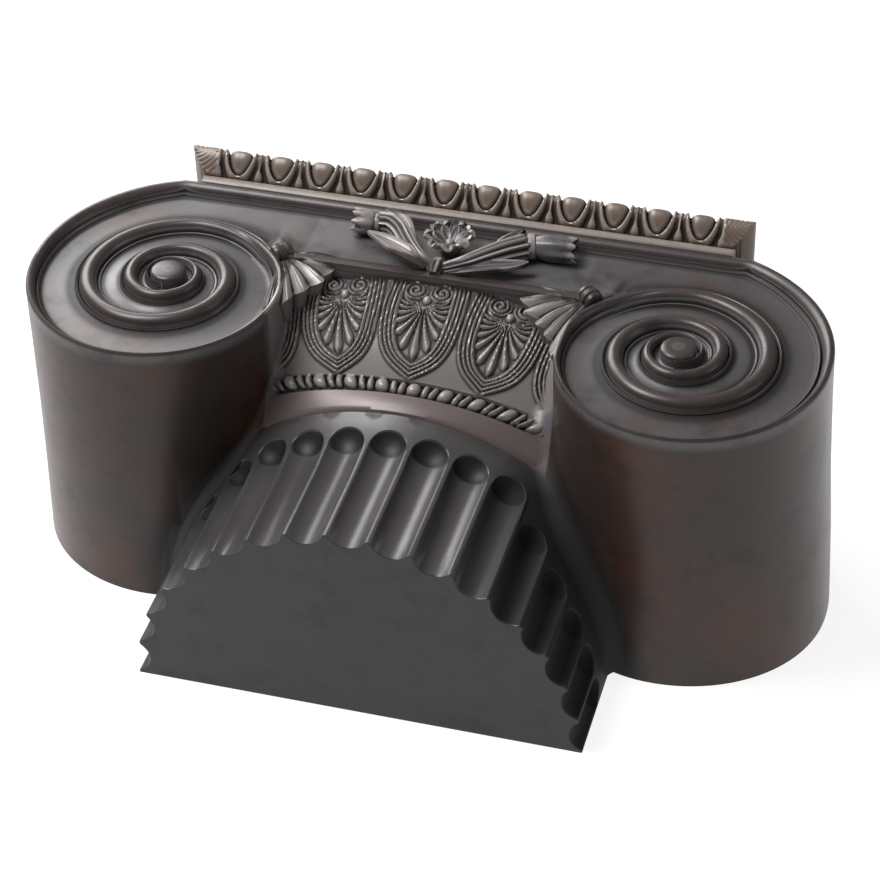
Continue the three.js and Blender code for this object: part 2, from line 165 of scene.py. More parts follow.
def edge_radius(turn):
    """The scroll's outer edge: straight along the top, then a full shoulder, then the spiral."""
    fuller = spiral_radius(turn) + SHOULDER_RISE * np.maximum(0, 1 - turn / SHOULDER_END) ** 1.2
    straight = (TOP_EDGE - POLE_Y) / np.cos(2 * np.pi * np.minimum(turn, STRAIGHT_END))
    return np.where(turn < STRAIGHT_END, np.minimum(straight, fuller), fuller)


def rim_width(turn):
    return np.interp(turn, [0, .12, .25, .45, .60, .75, .88, 1, 1.25, 1.75, 2.1, 2.7, LAST_TURN],
                     [RIM_WIDTH, 16.5, 12, 7.5, 6.5, 9, 13, 16, 17, 16, 14, 12, 6])


def rim_height(station, turn):
    """Height of the rim over the face, across its width: a band, a thin fillet and a cove at
    first, which becomes a round rib with a fillet at each foot."""
    rim = np.interp(station, [0, .03, .07, .17, .28, .43, .5, .55, .58, .63, .66, .70, .76, .87, .96, 1],
                    [-1.6, -.5, .2, .9, .7, -.8, -2.6, -4.8, -5.0, -3.2, -3.0, -3.6, -5.2, -5.8, -5.95, -6])
    foot = np.interp(station, [0, .03, .07, .12, .17, .82, .87, .92, .96, 1],
                     [-6, -4.0, -3.4, -3.9, -6.0, -5.6, -5.4, -4.8, -5.0, -6])
    rib = foot + RIB_RISE * half_round(station - .505, .335) ** .9
    share = smooth(.80, .98, turn)
    return rim * (1 - share) + rib * share


turns = np.arange(int(LAST_TURN * STEPS_PER_TURN) + 1) / STEPS_PER_TURN
inner = np.where(turns < LAST_TURN - 1, spiral_radius(np.minimum(turns + 1, LAST_TURN)),
                 spiral_radius(np.float64(LAST_TURN)) - EYE_FALL * (turns - LAST_TURN + 1))
breadth = edge_radius(turns) - inner
width = np.minimum(rim_width(turns), breadth - LEAST_FLOOR)
inwards = np.concatenate([width * RIM_STATIONS[:, None],
                          width + (breadth - width) * FLOOR_STATIONS[:, None]])
height = np.concatenate([rim_height(RIM_STATIONS[:, None], turns),
                         np.broadcast_to(FLOOR_DEPTH - FLOOR_SAG * np.sin(np.pi * FLOOR_STATIONS)[:, None],
                                         (FLOOR_STATIONS.size, turns.size))])


def centre_lift(turn):
    """The scrolls rise a little towards the eye."""
    return CENTRE_RISE * smooth(1.0, 2.4, turn)


lift = centre_lift(turns) + (centre_lift(turns + 1) - centre_lift(turns)) * np.clip(
    (inwards - width) / (breadth - width), 0, 1)
radius = edge_radius(turns) - inwards
angle = np.broadcast_to(2 * np.pi * turns, radius.shape)
scroll = np.stack([POLE_X + radius * np.sin(angle), POLE_Y + radius * np.cos(angle),
                   FACE + height + lift], axis=-1)
right_scroll = skin("right_scroll", scroll)
scroll[..., 2] += lift * LEFT_EXTRA_RISE
left_scroll = skin("left_scroll", scroll * (-1, 1, 1))

# The channel's columns take the spiral's own steps where it borders the scrolls.
LAST_JOINT = 107
BORDER_ENDS = (97, 112)
JOINT_STEPS = np.arange(STEPS_PER_TURN, LAST_JOINT, -1)
joint_turns = JOINT_STEPS / STEPS_PER_TURN
joint_x = POLE_X + spiral_radius(joint_turns) * np.sin(2 * np.pi * joint_turns)
joint_y = POLE_Y + spiral_radius(joint_turns) * np.cos(2 * np.pi * joint_turns)
plain_x = np.linspace(joint_x[-1], 0, 37)[1:]
half_x = np.concatenate([joint_x, plain_x])
half_low = np.concatenate([joint_y, np.full(plain_x.size, BAND_FOOT)])
breadth = TOP_EDGE - half_low
width = np.full(half_x.size, RIM_WIDTH)
away = smooth(*BORDER_ENDS, half_x)
band = np.interp(half_x, [87, 101.8, 115, 127, 150], [9.8, 12.5, 6, 3.5, .5])
from_foot = np.stack([breadth * .55, breadth * .4, band + 3.2, band + 1.0, band - 1.4, band * .45,
                      np.minimum(.9, band * .3), np.zeros_like(band)])
even = (breadth - width) * (1 - FLOOR_STATIONS)[:, None]
from_foot = from_foot * (1 - away) + even * away
band_height = np.array([-6, -6.1, -5.6, -4.2, -2.0, -.9, -1.0, -2.4])[:, None]
floor_height = FLOOR_DEPTH - FLOOR_SAG * np.sin(np.pi * FLOOR_STATIONS)[:, None]
floor_height = band_height * (1 - away) + floor_height * away
floor_height[-1, :joint_x.size] = rim_height(np.float64(0), joint_turns)
channel_y = np.concatenate([TOP_EDGE - width * RIM_STATIONS[:, None], half_low + from_foot])
channel_z = FACE + np.concatenate(
    [np.broadcast_to(rim_height(RIM_STATIONS, np.float64(0))[:, None],
                     (RIM_STATIONS.size, half_x.size)), floor_height])
half = np.stack([np.broadcast_to(half_x, channel_y.shape), channel_y, channel_z], axis=-1)
channel = skin("channel", np.concatenate([half, (half * (-1, 1, 1))[:, -2::-1]], axis=1))
block = join("scrolls", [right_scroll, left_scroll, channel])
EYE_HOLE = 13.0
edit(block)
for side in (-1, 1):
    pole = Vector((side * POLE_X * MM, CUT_END + POLE_Y * MM))
    select_open_edges(block, lambda middle: (middle.xy - pole).length < EYE_HOLE * MM)
    bpy.ops.mesh.edge_face_add()
bpy.ops.object.mode_set(mode="OBJECT")

# How much wider each bolster is on its outer side, by height over the back.
LEFT_SWELL = {0: 1.030, 60: 1.020, 110: 1.010, 160: 1.004, 186: 1.0}
RIGHT_SWELL = {0: 1.030, 60: 1.036, 110: 1.024, 160: 1.008, 186: 1.0}
BOLSTER_START = 95 * MM
BOLSTER_TOP = 245 * MM
SWELL_ENDS = (110 * MM, 170 * MM)


def bolster_swell(point, level):
    """The bolsters are a little fuller towards the foot, on their outer sides."""
    pole = Vector((math.copysign(POLE_X, point.x) * MM, CUT_END + POLE_Y * MM))
    if abs(point.x) < BOLSTER_START or point.y > CUT_END + BOLSTER_TOP:
        return point
    swell = (RIGHT_SWELL if point.x > 0 else LEFT_SWELL)[level]
    swell = 1 + (swell - 1) * smooth(*SWELL_ENDS, abs(point.x))
    point.x = pole.x + (point.x - pole.x) * swell
    return point


stand(block, sorted(LEFT_SWELL, reverse=True), bolster_swell)
block.data.transform(Matrix.Translation((SHIFT * MM, 0, 0)))

# The half column shaft below the scrolls, cast in bronze with round-headed flutes. Its
# cut end faces the front, and the edges between the flutes are rounded by wear.
SHAFT_RADIUS = 140.0
FLUTES = 17
FLUTE_DEPTH = 7.5
FLUTE_HALF_WIDTH = 11.44
FLUTE_HEADS = [54, 58, 65, 76, 90, 95, 95, 95, 95, 95, 95, 95, 75, 60, 52, 48, 47]
NECK_CREASE = 105.6
FLARE_START = 68.0
FLARE_RISE = 9.0
FLARE_RUN = 38
EDGE_WIDTH = 0.5
EDGE_WEAR = 0.3
LAND_WEAR = 0.08
END_WEAR = 0.6
CREASE_DEPTH = 1.0


def shaft_flare(y):
    return SHAFT_RADIUS + FLARE_RISE * (np.clip(y - FLARE_START, 0, None) / FLARE_RUN) ** 2


def close(piece):
    """Closes every open edge with a flat face and turns the faces outwards."""
    edit(piece)
    bpy.ops.mesh.select_all(action="SELECT")
    bpy.ops.mesh.remove_doubles(threshold=0.005 * MM)
    bpy.ops.mesh.fill_holes(sides=0)
    bpy.ops.mesh.select_all(action="SELECT")
    bpy.ops.mesh.normals_make_consistent(inside=False)
    bpy.ops.object.mode_set(mode="OBJECT")


half_pitch = math.pi / FLUTES / 2
land_edge = half_pitch * SHAFT_RADIUS
across = np.concatenate([[-land_edge, -FLUTE_HALF_WIDTH - EDGE_WIDTH],
                         FLUTE_HALF_WIDTH * np.sin(np.linspace(-np.pi / 2, np.pi / 2, 15)),
                         [FLUTE_HALF_WIDTH + EDGE_WIDTH]])
bore = (FLUTE_HALF_WIDTH ** 2 + FLUTE_DEPTH ** 2) / (2 * FLUTE_DEPTH)
columns = []
for flute in range(FLUTES):
    middle = -math.pi / 2 + half_pitch * (2 * flute + 1)
    head = FLUTE_HEADS[flute]
    offsets = across if flute < FLUTES - 1 else np.append(across, land_edge)
    for offset in offsets:
        sweep = math.sqrt(max(0, FLUTE_HALF_WIDTH ** 2 - offset ** 2))
        centre = head - FLUTE_HALF_WIDTH
        rise = np.sin(np.linspace(0, np.pi / 2, 10))
        y = np.concatenate([[0, .6], np.linspace(centre * .3, centre * .97, 4),
                            centre + (sweep + .8) * rise])
        y = np.concatenate([y, y[-1] + (NECK_CREASE - y[-1]) * np.array([.03, .15, .3, .5, .7, .9, 1])])
        past = np.clip(y - centre, 0, None)
        room = bore ** 2 - offset ** 2 - past ** 2
        depth = np.sqrt(np.clip(room, 0, None)) - (bore - FLUTE_DEPTH)
        depth = np.where(abs(offset) <= FLUTE_HALF_WIDTH + .01, np.clip(depth, 0, None), 0)
        if FLUTE_HALF_WIDTH - .2 < abs(offset) < FLUTE_HALF_WIDTH + .1:
            depth = np.where(y < centre, EDGE_WEAR, depth)
        if abs(offset) > FLUTE_HALF_WIDTH + .1 and abs(offset) < land_edge - .1:
            depth = np.where(y < centre, LAND_WEAR, depth)
        radius = shaft_flare(y) - depth
        radius[0] -= END_WEAR
        radius[-1] -= CREASE_DEPTH
        turn = middle + offset / SHAFT_RADIUS
        columns.append(np.stack([radius * math.sin(turn), y, radius * math.cos(turn)], axis=-1))
wall = np.stack(columns, axis=1)
wall[:, (0, -1), 2] = 0
back = np.linspace(wall[:, -1], wall[:, 0], 3, axis=1)
shaft = skin("shaft", np.concatenate([wall, back[:, 1:]], axis=1))
close(shaft)

# The neck, the row of beads and reels and the echinus with its row of framed palmettes.
# All of it is cast bronze relief, chased by hand, on one turned swelling between the bolsters.
EGG_STEP = math.radians(12.2)
BEAD_STEP = math.radians(5.75)
BEAD_START = math.radians(1.5)
BEAD_LINE = 124.2
STRETCH = 1.35
ECHINUS_RISE = 66.5
ECHINUS_FOOT = (155.8, 129.6)
ECHINUS_RUN = (31.2, 56.4)
BULGE = 6
BULGE_LEAN = (.88, .48)
echinus_share = np.linspace(0, 1, 86)
bulge = np.sin(np.pi * echinus_share)
echinus = np.stack([ECHINUS_FOOT[0] + ECHINUS_RUN[0] * echinus_share + BULGE * bulge * BULGE_LEAN[0],
                    ECHINUS_FOOT[1] + ECHINUS_RUN[1] * echinus_share - BULGE * bulge * BULGE_LEAN[1]],
                   axis=-1)
neck = np.array([[145.0, 102.5], [146.0, 105.2], [149.3, 106.6], [150.6, 109], [151.8, 112],
                 [152.8, 115.5], [153.4, 118.2], [152.6, 118.9]])
bed = np.stack([np.full(13, 151.6), np.linspace(119.2, 129.0, 13)], axis=-1)
profile = np.concatenate([neck, bed, [[154.0, 129.4]], echinus, [[187.3, 189.5]]])
share = np.concatenate([np.full(22, -1.0), echinus_share, [1.05]])[:, None]
x = np.concatenate([np.linspace(-104, -85, 8)[:-1], np.linspace(-85, 85, 225),
                    np.linspace(85, 104, 8)[1:]])[None, :]
radius = profile[:, :1]
along = profile[:, 1:]
stretch = 1 + (STRETCH - 1) * smooth(106, 129, along)
level = np.sqrt(np.clip(radius ** 2 - (x / stretch) ** 2, 1, None))
base = np.stack([np.broadcast_to(x, level.shape), np.broadcast_to(along, level.shape), level],
                axis=-1)


def outward(points):
    """Unit normals of a table of points, from its own neighbours."""
    normal = np.cross(np.gradient(points, axis=1), np.gradient(points, axis=0))
    normal /= np.linalg.norm(normal, axis=-1, keepdims=True)
    return normal * np.sign(normal[..., 2:])


PALMETTE_ROOT = 53.5
FROND_STEP = math.radians(14.5)
FROND_RISE = 2.5
CURL_PLACE = (8.4, 60.8)
CURL_PITCH = 3.1
KNOB_PLACE = 54.5
KNOB_RADIUS = 2.6
KNOB_RISE = 2.4


def palmette_relief(side, rise):
    """A palmette over two small scrolls: side and rise are in mm from the frame's tip."""
    down = PALMETTE_ROOT - rise
    reach = np.hypot(side, down)
    lean = np.arctan2(np.abs(side), down)
    longest = np.interp(lean, np.radians([0, 13, 26, 38, 52, 70, 93, 112]),
                        [41, 36.5, 30, 25, 20.5, 17, 15.5, 14])
    out = np.clip(reach / longest, 0, 1.2)
    bent = lean / (.50 + .50 * out ** 1.2) / FROND_STEP
    part = np.abs(bent - np.round(bent))
    fold = (.5 + .5 * np.cos(2 * np.pi * part)) ** 1.15
    end = 1.02 - .22 * (2 * part) ** 2
    relief = FROND_RISE * fold * smooth(end, end - .08, out) * smooth(2.5, 7, reach) * (bent < 7.5)
    for hand in (-1, 1):
        dx = (side - hand * CURL_PLACE[0]) * hand
        dy = rise - CURL_PLACE[1]
        curl = np.hypot(dx, dy)
        phase = curl / CURL_PITCH + np.arctan2(dy, dx) / (2 * np.pi)
        coil = (.5 + .5 * np.cos(2 * np.pi * phase)) * smooth(7.9, 6.9, curl)
        relief = np.maximum(relief * smooth(6.2, 7.6, curl), FROND_RISE * coil)
    knob = half_round(np.hypot(side, (rise - KNOB_PLACE) * .8), KNOB_RADIUS)
    return np.maximum(relief, KNOB_RISE * knob)


FIELD_LEVEL = -1.2
RIDGE_RISE = 1.9
RIDGE_PITCH = 2.6
FRAME_INSIDE = -9.1
FRAME_OUTSIDE = 1.3


def egg_relief(theta, share):
    """Relief of the echinus: pointed frames of four ridges with a palmette in each."""
    half = EGG_STEP / 2 * radius * stretch
    u = (theta - np.round(theta / EGG_STEP) * EGG_STEP) / (EGG_STEP / 2)
    side = u * half
    rise = share * ECHINUS_RISE
    wide = np.interp(share[:, 0], [.012, .06, .10, .14, .18, .24, .32, .42, .55, .7, .85, 1, 1.1],
                     [0, 5.2, 9.3, 12.9, 15.7, 18.6, 21.1, 22.9, 24.0, 24.6, 24.4, 23.8, 23.4])
    wide = np.convolve(np.pad(wide, 3, mode="edge"), [.06, .12, .2, .24, .2, .12, .06], mode="valid")
    wide = wide[:, None]
    slope = np.gradient(wide[:, 0])[:, None] / np.maximum(np.gradient(rise[:, 0]), .2)[:, None]
    off = (np.abs(side) - wide) / np.sqrt(1 + slope ** 2)
    field = FIELD_LEVEL + palmette_relief(side, rise)
    bars = RIDGE_RISE * (.5 + .5 * np.cos(2 * np.pi * off / RIDGE_PITCH)) * (1.12 + off / 40)
    field = field * smooth(-9.0, -10.0, off)
    relief = np.where(off < FRAME_INSIDE, field, np.where(off < FRAME_OUTSIDE, bars + .1, 0))
    return relief * smooth(.0, .03, share) * smooth(1.06, 1.0, share)


BEAD_DIP = 1.6
BEAD_RISE = 5.4
BEAD_HALF = (4.5, 5.0)
REEL_PLACES = (7.3, -7.3)
REEL_RISE = 4.6
REEL_HALF = (2.3, 4.8)


def bead_relief(theta, along):
    """Round beads with a pair of reels between each two."""
    count = (theta - BEAD_START) / BEAD_STEP
    place = (count - np.round(count)) * BEAD_STEP * radius * stretch
    rise = along - BEAD_LINE - BEAD_DIP * smooth(10, -50, x)
    bead = 1 - np.abs(place / BEAD_HALF[0]) ** 2.4 - np.abs(rise / BEAD_HALF[1]) ** 2.4
    bead = BEAD_RISE * np.clip(bead, 0, 1) ** .5
    reel = 0
    for spot in REEL_PLACES:
        drum = 1 - ((place - spot) / REEL_HALF[0]) ** 2 - (rise / REEL_HALF[1]) ** 4
        reel = np.maximum(reel, REEL_RISE * np.sqrt(np.clip(drum, 0, 1)))
    return np.maximum(bead, reel)


theta = np.arcsin(np.clip(x / (stretch * radius), -1, 1))
relief = np.where(share >= 0, egg_relief(theta, np.clip(share, 0, 2)), 0)
relief = relief + np.where((share < 0) & (along > 118.5), bead_relief(theta, along), 0)
echinus = skin("echinus", base + outward(base) * relief[..., None])
stand(echinus, [0])

# Soft fillets of metal run down the angle between each bolster and the column, where
# the caster's wax was smoothed over by hand.
FILLET_BALLS = {-1: 6.0, 1: 12.0}
FILLET_TURNS = np.linspace(.50, .835, 72)
OVERLAP = 4


def outline(turn, side):
    return np.array([POLE_X + side * SHIFT + edge_radius(turn) * np.sin(2 * np.pi * turn),
                     POLE_Y + edge_radius(turn) * np.cos(2 * np.pi * turn)])


def girth(y):
    return np.interp(y, [0, 68, 78, 87, 97, 106, 118, 129, 143, 158, 172, 186],
                     [140, 140, 140.6, 142.2, 145.2, 149, 153, 156, 167, 177.5, 183.5, 187])


def fillet(side, ball):
    """The metal between a bolster and the column, as a ball that rolls down the angle leaves it."""
    rings = []
    for turn in FILLET_TURNS:
        here = outline(turn, side)
        run = outline(turn + .002, side) - here
        run /= np.linalg.norm(run)
        out = np.array([-run[1], run[0]])
        middle = here + out * ball
        foot = middle[1]
        for _ in range(3):
            lean = math.atan((girth(foot + 3) - girth(foot - 3)) / 6)
            foot = middle[1] + ball * math.sin(lean)
        grow = 1 + (STRETCH - 1) * smooth(106, 129, foot)
        around = girth(foot) + ball * math.cos(lean)
        room = 1 - (middle[0] / (grow * around)) ** 2
        if room < .0004:
            continue
        z = around * math.sqrt(room)
        to_wall = np.array([-out[0], -out[1], 0])
        level = np.array([middle[0] / grow ** 2, 0, z])
        to_shaft = -level / np.linalg.norm(level) * math.cos(lean) + (0, math.sin(lean), 0)
        centre = np.array([middle[0], middle[1], z]) + .3 * (to_wall + to_shaft)
        arc = []
        for part in np.linspace(-.12, 1.12, 13):
            ray = to_wall * (1 - part) + to_shaft * part
            arc.append(centre + ball * ray / np.linalg.norm(ray))
        inside = (to_wall + to_shaft) / np.linalg.norm(to_wall + to_shaft)
        buried = [centre + (ball + OVERLAP) * to_shaft, centre + 1.7 * ball * inside,
                  centre + (ball + OVERLAP) * to_wall]
        rings.append(arc + buried + [arc[0]])
    points = np.array(rings) * (side, 1, 1)
    points[..., 2] = np.maximum(points[..., 2], 0)
    return skin("fillet", points)


fillets = join("fillets", [fillet(side, FILLET_BALLS[side]) for side in (-1, 1)])
close(fillets)

# The abacus is the flat slab on the far side, cast in bronze with an egg-and-dart front:
# twelve eggs in thick shells with thin darts between them, and a plain block at each corner.
EGGS = 12
EGG_PITCH = 27.34
ABACUS_MIDDLE = 1.2
ABACUS_FOOT = 256.4
ABACUS_TOP = 268.5
EGGS_END = 164.5
EGG_HALF_WIDTH = 7.4
EGG_FALL = 0.84
EGG_RISE = 3.6
SHELL_RISE = 3.9
SHELL_OFF = 2.2
DART_RISE = 3.6
WEB_RISE = 2.5
CORNER_START = 164.4
CORNER_TIP = 181
GROOVES_START = 165.5
GROOVE_DEPTH = 0.6
GROOVE_PITCH = 2.6
rise = np.linspace(0, 1, 26)
slope = np.sin(np.pi / 2 * rise)
front = np.stack([ABACUS_FOOT + (ABACUS_TOP - ABACUS_FOOT) * rise, 192.3 + 12.2 * slope], axis=-1)
foot = np.array([[246.5, 186], [250.0, 187.5], [250.6, 192.8], [251.4, 193.5], [254.6, 194.3],
                 [255.7, 194.2], [256.2, 193.2]])
profile = np.concatenate([foot, front])
reach = np.concatenate([[168, 170, 172.4, 173.0, 173.6, 173.4, 172.6], 171.5 + 11.5 * slope])
rise = np.concatenate([np.full(len(foot), -1.0), rise])[:, None]
inner_x = np.linspace(-EGGS_END, EGGS_END, 395)
corner = np.linspace(0, 1, 14)[1:]
x = np.concatenate([-(EGGS_END + (reach[:, None] - EGGS_END) * corner)[:, ::-1],
                    np.broadcast_to(inner_x, (reach.size, inner_x.size)),
                    EGGS_END + (reach[:, None] - EGGS_END) * corner], axis=1)
place = x - (np.clip(np.round(x / EGG_PITCH - .5), -EGGS / 2, EGGS / 2 - 1) + .5) * EGG_PITCH
fall = np.clip(1 - rise, 0, 2)
bound = np.abs(place / EGG_HALF_WIDTH) ** 2 + (fall / EGG_FALL) ** 2.0 - 1
steep = np.hypot(2 * place / EGG_HALF_WIDTH ** 2, 2.0 * (fall / EGG_FALL) / (EGG_FALL * 16.0))
off = bound / np.maximum(steep, .05)
narrow = EGG_HALF_WIDTH * np.sqrt(np.clip(1 - (fall / EGG_FALL) ** 2.0, 1e-6, 1))
inside = np.clip(1 - np.abs(place) / narrow, 0, 1)
egg = EGG_RISE * (1 - (1 - inside) ** 3.2) ** .5 * (1 - .35 * fall)
shell = SHELL_RISE * half_round(off - SHELL_OFF, 1.15 + .35 * fall)
midway = EGG_PITCH / 2 - np.abs(place)
barb = 1.6 * smooth(.62, .88, fall) * smooth(1.02, .92, fall)
dart = DART_RISE * half_round(midway, .95 + .3 * fall + barb)
between = WEB_RISE * smooth(.8, .15, fall) * smooth(2.2, 3.4, off)
relief = np.maximum(np.maximum(np.maximum(egg, shell), dart), between)
relief = np.where(np.abs(x) > CORNER_START, SHELL_RISE, relief)
arcs = np.hypot(np.abs(x) - CORNER_TIP, (fall - .05) * 19)
grooves = GROOVE_DEPTH * (.5 + .5 * np.cos(2 * np.pi * arcs / GROOVE_PITCH)) ** 2
relief = relief - np.where(np.abs(x) > GROOVES_START, grooves, 0)
relief = np.where(rise < 0, 0, relief * smooth(0, .05, rise))
relief[-1] -= .5
abacus = np.stack([x + ABACUS_MIDDLE, np.broadcast_to(profile[:, :1], x.shape), profile[:, 1:] + relief],
                  axis=-1)
abacus[len(foot):, :, 1] -= (relief * .35)[len(foot):] * (1 - rise[len(foot):])
abacus = skin("abacus", abacus)
stand(abacus, [0])

# The eye of each scroll is a plain round button of bronze, cast with the scroll, that
# stands above the rib's end. The left one stands a little higher.
def turned(name, profile, origin, axis, lobes=lambda along, round_: (0, 0), sides=32):
    """A turned solid: profile rows are (distance along the axis, radius) from end to end."""
    spin = np.linspace(0, 2 * np.pi, sides + 1)
    axis = np.array(axis, float) / np.linalg.norm(axis)
    first = np.cross(axis, (0, 0, 1) if abs(axis[2]) < .9 else (0, 1, 0))
    first /= np.linalg.norm(first)
    second = np.cross(axis, first)
    profile = np.array(profile, float)
    ring = first * np.cos(spin)[:, None] + second * np.sin(spin)[:, None]
    swell, shift = lobes(np.arange(len(profile))[:, None], spin[None, :])
    girth = profile[:, 1:] * (1 + swell) + 0 * spin
    along = profile[:, :1] + shift + 0 * spin
    points = np.array(origin) + along[..., None] * axis + girth[..., None] * ring
    piece = skin(name, points)
    close(piece)
    return piece


EYE_TOPS = {-1: 198.8, 1: 197.4}


def eye(side):
    top = EYE_TOPS[side]
    side_view = [(180, 0), (180, 10.6), (top - 8, 10.6), (top - 2.6, 11.0), (top - 1.1, 10.5),
                 (top - .3, 9.3), (top, 7.2), (top + .2, 3.5), (top + .25, 0)]
    return turned("eye", side_view, (side * POLE_X + SHIFT, POLE_Y, 0), (0, 0, 1), sides=48)


eyes = join("eyes", [eye(side) for side in (-1, 1)])

# The rosette in the middle of the channel: eight spoon petals of bronze round a small
# boss, cast standing clear of the floor on a short stalk.
ROSETTE = (1.5, 222.0)
ROSETTE_TURN = 0.2
PETAL_ROOT = 2.6
PETAL_LENGTH = 12.8
PETAL_HALF_WIDTH = 5.4
PETAL_FOOT = 193.4
PETAL_LIFT = 7.0
PETAL_METAL = 2.2


def thicken(piece, thickness):
    """Gives an open skin its metal thickness and closes it."""
    bpy.context.view_layer.objects.active = piece
    solid = piece.modifiers.new("metal", "SOLIDIFY")
    solid.thickness = thickness * MM
    solid.offset = -1
    bpy.ops.object.modifier_apply(modifier=solid.name)
    edit(piece)
    bpy.ops.mesh.select_all(action="SELECT")
    bpy.ops.mesh.normals_make_consistent(inside=False)
    bpy.ops.object.mode_set(mode="OBJECT")


def petal(turn):
    out = np.linspace(0, 1, 12)[:, None]
    q = np.linspace(-1, 1, 11)[None, :]
    reach = PETAL_ROOT + PETAL_LENGTH * out * (1 - .20 * q ** 2)
    half = PETAL_HALF_WIDTH * np.sin(np.pi * (.09 + .86 * out ** .9)) ** .75
    cup = np.sin(np.pi * np.clip(out, .08, .95)) ** .6
    lift = PETAL_FOOT + PETAL_LIFT * out ** .85 + (2.6 * q ** 2 - 1.2) * cup
    lift = lift + .8 * half_round(q, .16) * cup
    ca, sa = math.cos(turn), math.sin(turn)
    across = half * q
    points = np.stack([ROSETTE[0] + reach * ca - across * sa, ROSETTE[1] + reach * sa + across * ca,
                       lift + 0 * q], axis=-1)
    piece = skin("petal", points[:, ::-1])
    thicken(piece, PETAL_METAL)
    return piece


petals = [join("petals", [petal(math.pi / 4 * (2 * index + start) + ROSETTE_TURN) for index in range(4)])
          for start in (0, 1)]
BOSS = [(0, 0), (0, 8), (8, 6.5), (11.5, 5.0), (12.6, 4.2), (13.4, 3.0), (15.0, 2.6), (15.8, 1.6),
        (16.0, 0)]
boss = turned("boss", BOSS, (*ROSETTE, 180), (0, 0, 1), sides=24)

# A bronze branch springs from a bud on the channel's lower border to either side: a cast
# and chased ribbed stalk, curled leaves, a collar and a bell-shaped flower that opens outwards.
STALKS = {1: [[3, 197, 191], [15, 200.5, 194], [27, 209, 196], [38, 218, 196.5], [49, 226.5, 196]],
          -1: [[-4, 197, 191], [-12, 200, 194], [-22, 211, 196], [-30, 223, 197], [-38, 230, 197],
               [-46, 231, 196]]}
GIRTHS = {1: [3.4, 4.6, 5.6, 6.6, 7.0], -1: [3.4, 4.4, 5.2, 5.6, 5.6]}
STALK_STEPS = 30
STALK_RIBS = 9
STALK_RIB_DEPTH = 0.15
STALK_SIDES = 54
LEAF_METAL = 2.4
LEAF_STEPS = 20


def flow(points, count):
    """A smooth line of many points through a few."""
    points = np.array(points, float)
    knots = np.linspace(0, 1, len(points))
    fine = np.linspace(0, 1, count)
    line = np.stack([np.interp(fine, knots, values) for values in points.T], axis=-1)
    for _ in range(count // 6):
        line[1:-1] = (line[:-2] + 2 * line[1:-1] + line[2:]) / 4
    return line


def tube(name, path, girth, ribs, depth, sides):
    """A ribbed stalk along a path, closed at both ends."""
    run = np.gradient(path, axis=0)
    run /= np.linalg.norm(run, axis=1, keepdims=True)
    level = np.cross(run, (0, 0, 1.0))
    level /= np.linalg.norm(level, axis=1, keepdims=True)
    above = np.cross(level, run)
    spin = np.linspace(0, 2 * np.pi, sides + 1)
    thick = girth[:, None] * (1 + depth * np.cos(ribs * spin))
    points = (path[:, None] + thick[..., None] * (np.cos(spin)[:, None] * level[:, None]
                                                  + np.sin(spin)[:, None] * above[:, None]))
    piece = skin(name, points)
    close(piece)
    return piece


def leaf(name, path, half_width, curl, side):
    """A ridged leaf along a path, with its edges lifted and a pointed tip."""
    run = np.gradient(path, axis=0)
    run /= np.linalg.norm(run, axis=1, keepdims=True)
    level = np.cross(run, (0, 0, 1.0))
    level /= np.linalg.norm(level, axis=1, keepdims=True)
    q = np.linspace(-1, 1, 17)
    out = np.linspace(0, 1, len(path))
    half = half_width * np.sin(np.pi * (.22 + .76 * out)) ** .8
    lift = curl * q ** 2 + .7 * np.abs(np.sin(2 * np.pi * q))
    points = path[:, None] + level[:, None] * (half[:, None] * q)[..., None]
    points[..., 2] += lift * (half / half_width)[:, None]
    piece = skin(name, points[:, ::side])
    thicken(piece, LEAF_METAL)
    return piece


def branches(name, make):
    return join(name, [make(side) for side in (-1, 1)])


def stalk(side):
    path = flow(STALKS[side], STALK_STEPS)
    girth = np.interp(np.linspace(0, 1, STALK_STEPS), np.linspace(0, 1, 5), GIRTHS[side])
    return tube("stalk", path, girth, STALK_RIBS, STALK_RIB_DEPTH, STALK_SIDES)


stalks = branches("stalks", stalk)
LOW_LEAVES = {1: [[8, 197, 191], [20, 198, 194.5], [33, 201.5, 195.5], [45, 205, 196],
                  [55, 209, 197.5]],
              -1: [[-7, 196.5, 191], [-16, 198, 195], [-27, 203, 196.5], [-37, 208, 197.5],
                   [-48, 211, 199.5]]}
HIGH_LEAVES = {1: [[29, 216, 194], [35, 224, 198], [40, 231, 199], [45, 237.5, 200.5]],
               -1: [[-22, 215, 194], [-28, 226, 198], [-35, 233.5, 199], [-43, 236, 200]]}
LOW_LEAF = {"half_width": 6.2, "curl": 1.8}
HIGH_LEAF = {"half_width": 3.6, "curl": 1.2}


def low_leaf(side):
    return leaf("low_leaf", flow(LOW_LEAVES[side], LEAF_STEPS), side=side, **LOW_LEAF)


def high_leaf(side):
    return leaf("high_leaf", flow(HIGH_LEAVES[side], LEAF_STEPS), side=side, **HIGH_LEAF)


low_leaves = branches("low_leaves", low_leaf)
high_leaves = branches("high_leaves", high_leaf)
COLLAR = [(-3.0, 0), (-3.0, 6.6), (-2.0, 7.9), (0, 8.3), (2.0, 7.9), (3.0, 6.6), (3.0, 0)]
BELL = [(0, 0), (0, 6.2), (4, 7.4), (9, 8.4), (15, 8.6), (20, 8.2), (24, 7.8), (26.0, 7.4), (26.2, 6.6),
        (23, 6.0), (18, 5.8), (12, 5.0), (8, 3.5), (7.5, 0)]
